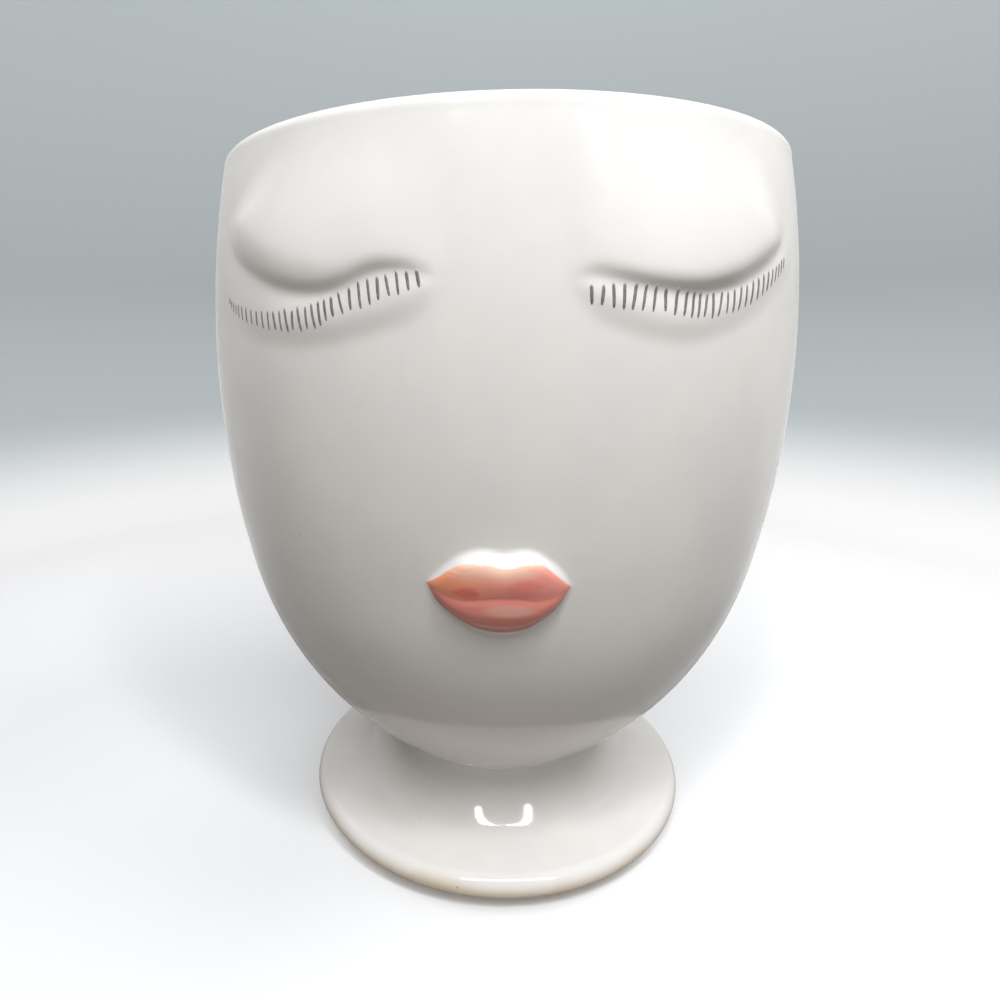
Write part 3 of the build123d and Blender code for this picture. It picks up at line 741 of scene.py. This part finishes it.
def lash_nodes():
    """Tree: guide curve in, real strokes pressed on the Clay object out."""
    tree = bpy.data.node_groups.new("lash_strokes", "GeometryNodeTree")
    tree.interface.new_socket("Guide", in_out="INPUT", socket_type="NodeSocketGeometry")
    for name, kind, start in (
        ("Stroke Width", "NodeSocketFloat", STROKE_WIDTH),
        ("Uneven", "NodeSocketFloat", UNEVEN),
        ("Paint Thickness", "NodeSocketFloat", PAINT_THICKNESS),
        ("Seed", "NodeSocketInt", None),
        ("Stroke", "NodeSocketObject", None),
        ("Clay", "NodeSocketObject", None),
        ("Colour", "NodeSocketMaterial", None),
    ):
        socket = tree.interface.new_socket(name, in_out="INPUT", socket_type=kind)
        if start is not None:
            socket.default_value = start
    tree.interface.new_socket("Lashes", in_out="OUTPUT", socket_type="NodeSocketGeometry")
    given = add_node(tree, "NodeGroupInput").outputs

    def number(operation, first, second):
        return summed(tree, operation, first, second)

    def vector(operation, sockets):
        node = add_node(tree, "ShaderNodeVectorMath", operation=operation)
        for key, value in sockets.items():
            feed(tree, value, node.inputs[key])
        return node.outputs[0]

    def random_share(identity):
        seed = number("ADD", given["Seed"], identity)
        node = add_node(tree, "FunctionNodeRandomValue", data_type="FLOAT", Seed=seed)
        node.inputs[2].default_value, node.inputs[3].default_value = -1.0, 1.0
        return number("MULTIPLY", node.outputs[1], given["Uneven"])

    here = add_node(tree, "GeometryNodeInputPosition").outputs[0]
    outward = vector("NORMALIZE", {0: vector("MULTIPLY", {0: here, 1: (1, 1, 0)})})

    face = add_node(tree, "FunctionNodeAlignRotationToVector", axis="Z", Vector=outward).outputs[0]
    stand = add_node(
        tree, "FunctionNodeAlignRotationToVector", axis="Y", pivot_axis="Z", Vector=(0, 0, 1), Rotation=face
    ).outputs[0]
    tilt = add_node(tree, "GeometryNodeInputCurveTilt").outputs[0]
    angle = number("ADD", tilt, number("MULTIPLY", random_share(1), LEAN_CHANGE))
    lean = add_node(tree, "FunctionNodeAxisAngleToRotation", Axis=(0, 0, 1), Angle=angle).outputs[0]
    leaning = add_node(tree, "FunctionNodeRotateRotation", rotation_space="LOCAL", Rotation=stand)
    tree.links.new(lean, leaning.inputs["Rotate By"])

    wide = number("MULTIPLY", given["Stroke Width"], number("ADD", random_share(2), 1.0))
    length = add_node(tree, "GeometryNodeInputRadius").outputs[0]
    long = number("MULTIPLY", length, number("ADD", random_share(3), 1.0))
    size = add_node(tree, "ShaderNodeCombineXYZ", X=wide, Y=long, Z=1.0).outputs[0]
    template = add_node(tree, "GeometryNodeObjectInfo", Object=given["Stroke"]).outputs["Geometry"]
    setting = add_node(
        tree, "GeometryNodeInstanceOnPoints",
        Points=given["Guide"], Instance=template, Rotation=leaning.outputs[0], Scale=size,
    )
    aside = number("MULTIPLY", random_share(4), SHIFT_ASIDE)
    upward = number("MULTIPLY", random_share(5), SHIFT_UPWARD)
    shift = add_node(tree, "ShaderNodeCombineXYZ", X=aside, Y=upward).outputs[0]
    nudge = add_node(tree, "GeometryNodeTranslateInstances", Instances=setting.outputs[0], Translation=shift)
    real = add_node(tree, "GeometryNodeRealizeInstances", Geometry=nudge.outputs[0])

    clay = add_node(tree, "GeometryNodeObjectInfo", Object=given["Clay"])
    ray = add_node(tree, "GeometryNodeRaycast")
    tree.links.new(clay.outputs["Geometry"], ray.inputs["Target Geometry"])
    start = vector("MULTIPLY_ADD", {0: outward, 1: (RAY_START,) * 3, 2: here})
    tree.links.new(start, ray.inputs["Source Position"])
    tree.links.new(vector("SCALE", {0: outward, "Scale": -1.0}), ray.inputs["Ray Direction"])
    ray.inputs["Ray Length"].default_value = RAY_REACH
    lift = add_node(tree, "GeometryNodeInputNamedAttribute", data_type="FLOAT", Name="lift")
    raised = number("SUBTRACT", number("MULTIPLY", lift.outputs["Attribute"], 2.0), 1.0)
    rise = vector("SCALE", {0: outward, "Scale": number("MULTIPLY", raised, given["Paint Thickness"])})
    touch = vector("ADD", {0: ray.outputs["Hit Position"], 1: rise})
    press = add_node(
        tree, "GeometryNodeSetPosition",
        Geometry=real.outputs[0], Selection=ray.outputs["Is Hit"], Position=touch,
    )
    smooth = add_node(tree, "GeometryNodeSetShadeSmooth", Geometry=press.outputs[0])
    paint = add_node(tree, "GeometryNodeSetMaterial", Geometry=smooth.outputs[0], Material=given["Colour"])
    add_node(tree, "NodeGroupOutput", Lashes=paint.outputs[0])
    return tree


lash_tree = lash_nodes()
print("lash nodes:", len(lash_tree.nodes))

# %% Set the lashes
GUIDE_CLEAR = 2.0
LASHES = {
    "left": {
        "Seed": 5,
        "number": [0, 3, 6, 9, 12, 15, 18, 21, 24, 27, 29],
        "angle": [11.6, 15.9, 20.1, 24.6, 28.0, 32.1, 36.3, 41.1, 46.0, 49.6, 51.6],
        "height": [141.5, 140.6, 139.2, 137.4, 135.9, 135.3, 135.2, 135.7, 136.8, 137.9, 139.2],
        "length": [3.0, 3.6, 4.0, 3.9, 3.9, 3.9, 3.8, 3.2, 2.7, 1.8, 1.3],
        "lean": [11, 12, 13, 16, 11, 8, 8, 8, 4, 0, -5],
    },
    "right": {
        "Seed": 8,
        "number": [0, 3, 6, 9, 12, 15, 18, 21, 24, 27],
        "angle": [11.4, 15.9, 20.4, 25.4, 29.0, 33.3, 37.6, 42.2, 46.4, 50.0],
        "height": [138.8, 138.6, 138.3, 137.5, 137.2, 137.7, 138.9, 140.9, 143.0, 145.2],
        "length": [3.0, 3.8, 4.2, 4.1, 4.4, 4.0, 4.1, 3.7, 3.2, 2.4],
        "lean": [4, -6, -7, -9, -9, -10, -11, -11, -11, -11],
    },
}


def lash_guide(side_name, side):
    """Curve with a point at each stroke's middle; radius carries the stroke's length and tilt its lean."""
    plan = LASHES[side_name]
    strokes = np.arange(plan["number"][-1] + 1)
    at, height, length, lean = (
        smooth_line(plan["number"], plan[key])(strokes) for key in ("angle", "height", "length", "lean")
    )
    curve = bpy.data.curves.new(f"{side_name}_guide", "CURVE")
    curve.dimensions = "3D"
    spline = curve.splines.new("POLY")
    spline.points.add(len(at) - 1)
    for point, angle, z, long, tip in zip(spline.points, np.radians(at) * side, height, length, lean):
        reach = bowl_radius(z) + GUIDE_CLEAR
        point.co = (*(np.array((reach * math.sin(angle), -reach * math.cos(angle), z)) * MM), 1.0)
        point.radius, point.tilt = long * MM, math.radians(tip)
    made = bpy.data.objects.new(f"{side_name}_guide", curve)
    scene.collection.objects.link(made)
    return made


def joined_copy(name, pieces):
    """One mesh object with copies of several pieces, for rays to hit."""
    vertices, faces, count = [], [], 0
    for piece in pieces:
        places = np.zeros(3 * len(piece.data.vertices), np.float32)
        piece.data.vertices.foreach_get("co", places)
        vertices.append(places.reshape(-1, 3) / MM)
        faces += [[count + v for v in polygon.vertices] for polygon in piece.data.polygons]
        count += len(piece.data.vertices)
    return mesh_object(name, np.vstack(vertices), faces)


for side_name, side in (("left", -1), ("right", 1)):
    guide = lash_guide(side_name, side)
    clay = joined_copy("clay", [bowl, eye_pieces[side_name, "brow"], eye_pieces[side_name, "eyelid"]])
    maker = guide.modifiers.new("lashes", "NODES")
    maker.node_group = lash_tree
    inputs = {item.name: item.identifier for item in lash_tree.interface.items_tree if item.in_out == "INPUT"}
    maker[inputs["Seed"]] = LASHES[side_name]["Seed"]
    maker[inputs["Stroke"]], maker[inputs["Clay"]], maker[inputs["Colour"]] = stroke, clay, lash_glaze
    evaluated = guide.evaluated_get(bpy.context.evaluated_depsgraph_get())
    mesh = bpy.data.meshes.new_from_object(evaluated)
    guide.modifiers.remove(maker)
    lashes = bpy.data.objects.new(f"{side_name}_lashes", mesh)
    scene.collection.objects.link(lashes)
    for used in (guide, clay):
        bpy.data.objects.remove(used)
    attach(lashes, "planter")
    print(f"{lashes.name}: {len(mesh.polygons)} faces, {len(mesh.materials)} material slot")
bpy.data.objects.remove(stroke)

# %% [markdown]
# ## Drain plug
# The plug that closes the drain hole sits inside, out of the picture. Its CAD shape is right as it is, so
# it only gets a finish: matt black rubber, with the fine grain of the mould and a dusting of pale bloom.

# %% Rubber
RUBBER, RUBBER_BLOOM = srgb(42, 42, 43), srgb(66, 66, 65)
MOULD_GRAIN = 0.03 * MM

rubber = bpy.data.materials.new("plug_rubber")
rubber.use_nodes = True
tree = rubber.node_tree
shader = tree.nodes["Principled BSDF"]
place = add_node(tree, "ShaderNodeTexCoord").outputs["Object"]
bloom = add_node(tree, "ShaderNodeTexNoise", Vector=place, Scale=120.0, Detail=4.0)
mould = add_node(tree, "ShaderNodeTexNoise", Vector=place, Scale=2500.0, Detail=1.0).outputs["Fac"]
dust = ranged(tree, bloom.outputs["Fac"], 0.4, 0.75)
tree.links.new(mixed(tree, dust, RUBBER, RUBBER_BLOOM), shader.inputs["Base Color"])
tree.links.new(ranged(tree, bloom.outputs["Fac"], 0.3, 0.7, 0.55, 0.72), shader.inputs["Roughness"])
bump = add_node(tree, "ShaderNodeBump", Strength=0.4, Distance=MOULD_GRAIN, Height=mould)
tree.links.new(bump.outputs["Normal"], shader.inputs["Normal"])
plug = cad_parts["drain_plug"]
plug.data.materials.clear()
plug.data.materials.append(rubber)
print("rubber on the plug:", len(plug.data.polygons), "faces")

# %% [markdown]
# ## Table and light
# The pot stands on a white table in front of a grey-blue wall. One turned sheet does for both: a flat
# disc that curls up at its edge, so every view has a background. Light Path gives each kind of ray a
# colour of its own on that sheet. The camera sees white and grey-blue, with a little glow added. Mirror
# rays see a table that is darker in front of the pot than behind it, which shades the glaze as a room
# does. All other rays see a dull colour past the foot, because a white table would throw so much light up
# that the chin lost its shade.
#
# A ring of small lamps hangs overhead and in front. Its half nearer the pot is mirrored in the foot as a
# bright hook. The other half stays out of reflections, or it would hang like drops below the rim. Soft
# lamps stand in for windows at the sides and behind and for the glow of the table. They stay out of
# reflections too, so that the brows carry no bright patches.

# %% Table and wall
TABLE_RADIUS, CURL, WALL_TOP = 330.0, 170.0, 620.0
FLAT_RINGS, CURL_STEPS, SHEET_STEPS = (120.0, 230.0), 24, 96

curl_angles = np.linspace(0, math.pi / 2, CURL_STEPS + 1)
sheet = [(0.0, 0.0)] + [(radius, 0.0) for radius in FLAT_RINGS]
sheet += [(TABLE_RADIUS + CURL * math.sin(a), CURL - CURL * math.cos(a)) for a in curl_angles]
sheet.append((TABLE_RADIUS + CURL, WALL_TOP))
ring = np.arange(SHEET_STEPS) * 2 * math.pi / SHEET_STEPS
vertices = [(0.0, 0.0, 0.0)] + [(r * math.cos(a), r * math.sin(a), z) for r, z in sheet[1:] for a in ring]
faces = [(0, 1 + step, 1 + (step + 1) % SHEET_STEPS) for step in range(SHEET_STEPS)]
for band in range(len(sheet) - 2):
    low = 1 + band * SHEET_STEPS
    high = low + SHEET_STEPS
    for step in range(SHEET_STEPS):
        ahead = (step + 1) % SHEET_STEPS
        faces.append((low + step, high + step, high + ahead, low + ahead))
table = mesh_object("table_and_wall", vertices, faces)
print("table: disc of", 2 * TABLE_RADIUS, "mm, wall", WALL_TOP, "mm tall")

# %% Colours of the table and wall
FLOOR_NEAR, FLOOR_FAR, WALL_GREY = srgb(232, 235, 238), srgb(254, 254, 255), srgb(187, 196, 199)
MIRROR_NEAR, MIRROR_FAR = srgb(178, 181, 182), srgb(252, 253, 254)
BOUNCE_AT_FOOT, BOUNCE_AROUND = srgb(205, 196, 186), srgb(90, 82, 74)
FLOOR_GLOW, WALL_GLOW, NO_GLOW = (0.11, 0.112, 0.115, 1.0), (0.06, 0.064, 0.066, 1.0), (0.0, 0.0, 0.0, 1.0)
WALL_STARTS, FLOOR_PALES = (0.0, 0.07), (-0.10, 0.30)
MIRROR_PALES, BOUNCE_DULLS = (-0.04, 0.20), (0.058, 0.085)

backdrop = bpy.data.materials.new("backdrop")
backdrop.use_nodes = True
tree = backdrop.node_tree
shader = tree.nodes["Principled BSDF"]
shader.inputs["Roughness"].default_value = 0.9
shader.inputs["Specular IOR Level"].default_value = 0.2
place = add_node(tree, "ShaderNodeTexCoord").outputs["Object"]
spot = add_node(tree, "ShaderNodeSeparateXYZ", Vector=place)
climb = ranged(tree, spot.outputs["Z"], *WALL_STARTS, smooth=True)
depth = ranged(tree, spot.outputs["Y"], *FLOOR_PALES, smooth=True)
floor_colour = mixed(tree, depth, FLOOR_NEAR, FLOOR_FAR)
seen_colour = mixed(tree, climb, floor_colour, WALL_GREY)
path = add_node(tree, "ShaderNodeLightPath")
seen = summed(tree, "MAXIMUM", path.outputs["Is Camera Ray"], path.outputs["Is Glossy Ray"])
seen = summed(tree, "MAXIMUM", seen, path.outputs["Is Transmission Ray"])
across = summed(tree, "POWER", spot.outputs["X"], 2.0)
along = summed(tree, "POWER", spot.outputs["Y"], 2.0)
reach = summed(tree, "SQRT", summed(tree, "ADD", across, along), 0.0)
bounce = mixed(tree, ranged(tree, reach, *BOUNCE_DULLS, smooth=True), BOUNCE_AT_FOOT, BOUNCE_AROUND)
behind = ranged(tree, spot.outputs["Y"], *MIRROR_PALES, smooth=True)
mirrored = mixed(tree, behind, MIRROR_NEAR, MIRROR_FAR)
shown = mixed(tree, path.outputs["Is Glossy Ray"], seen_colour, mirrored)
tree.links.new(mixed(tree, seen, bounce, shown), shader.inputs["Base Color"])
paler = mixed(tree, climb, FLOOR_GLOW, WALL_GLOW)
glow = mixed(tree, path.outputs["Is Camera Ray"], NO_GLOW, paler)
tree.links.new(glow, shader.inputs["Emission Color"])
shader.inputs["Emission Strength"].default_value = 1.0
table.data.materials.append(backdrop)
print("backdrop: own colours for camera, mirror and other rays")

# %% Lamps
POT_MIDDLE = (0.0, 0.0, 0.10)
RING_PLACE, RING_RADIUS, RING_FRONT = (0.07, -0.45, 0.52), 0.20, -0.44
RING_LAMPS, RING_LAMP_WIDTH, RING_WATTS = 24, 0.056, 5.1
SOFT_WIDTH = 0.40
SOFT_LAMPS = [
    ("left_window", (-0.42, -0.05, 0.62), 1.3),
    ("right_window", (0.42, -0.05, 0.62), 2.3),
    ("back_window", (0.05, 0.42, 0.60), 1.1),
    ("table_glow", (0.08, -0.45, 0.12), 0.38),
]
ROOM_COLOUR, ROOM_STRENGTH = (0.86, 0.93, 1.0, 1.0), 0.21


def soft_lamp(name, place, width, watts):
    """A round soft lamp at a place in metres, turned to the middle of the pot."""
    light = bpy.data.lights.new(name, "AREA")
    light.shape, light.size, light.energy = "DISK", width, watts
    lamp = bpy.data.objects.new(name, light)
    lamp.location = place
    lamp.rotation_mode = "QUATERNION"
    lamp.rotation_quaternion = (Vector(POT_MIDDLE) - Vector(place)).to_track_quat("-Z", "Y")
    scene.collection.objects.link(lamp)
    return lamp


for step in range(RING_LAMPS):
    angle = 2 * math.pi * step / RING_LAMPS
    x = RING_PLACE[0] + RING_RADIUS * math.cos(angle)
    y = RING_PLACE[1] + RING_RADIUS * math.sin(angle)
    lamp = soft_lamp(f"ring_{step}", (x, y, RING_PLACE[2]), RING_LAMP_WIDTH, RING_WATTS / RING_LAMPS)
    lamp.visible_glossy = y > RING_FRONT
for name, place, watts in SOFT_LAMPS:
    soft_lamp(name, place, SOFT_WIDTH, watts).visible_glossy = False
world = bpy.data.worlds.new("room")
world.use_nodes = True
sky = world.node_tree.nodes["Background"]
sky.inputs["Color"].default_value = ROOM_COLOUR
sky.inputs["Strength"].default_value = ROOM_STRENGTH
scene.world = world
